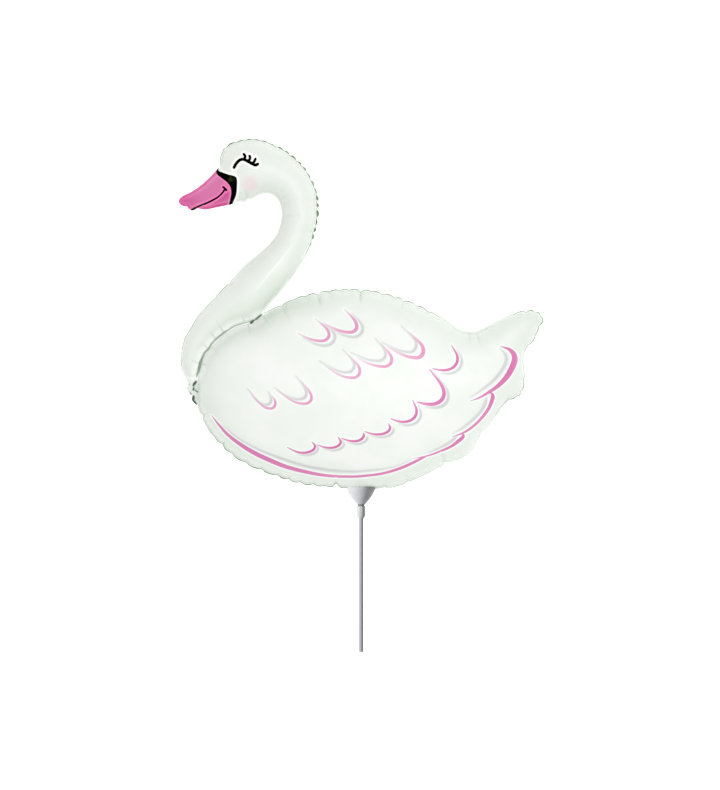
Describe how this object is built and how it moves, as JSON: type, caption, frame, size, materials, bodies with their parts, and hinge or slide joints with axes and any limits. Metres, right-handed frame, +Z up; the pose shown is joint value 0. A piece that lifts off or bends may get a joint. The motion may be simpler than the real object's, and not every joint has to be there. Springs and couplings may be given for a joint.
{
  "type": "swan foil balloon",
  "caption": "Swan-shaped foil balloon, air-filled and sealed round its edge, with its filling tail in a hollow cup on a straight tube stick; it lies on its back.",
  "frame": {"origin": "centre of the box in plan, on the floor under the back of the lying balloon", "axes": "+Y from the stick's free end towards the swan's head, +X towards its tail, +Z up, out of the printed front"},
  "size_m": [0.3656, 0.513, 0.1209],
  "materials": {
    "foil": "pearl white satin foil with a thin silvery green edge",
    "cup_plastic": "satin grey moulded plastic",
    "stick_plastic": "satin grey extruded plastic tube"
  },
  "bodies": {
    "root": {"foil_balloon": "foil", "cup": "cup_plastic", "stick": "stick_plastic"}
  },
  "joints": []
}
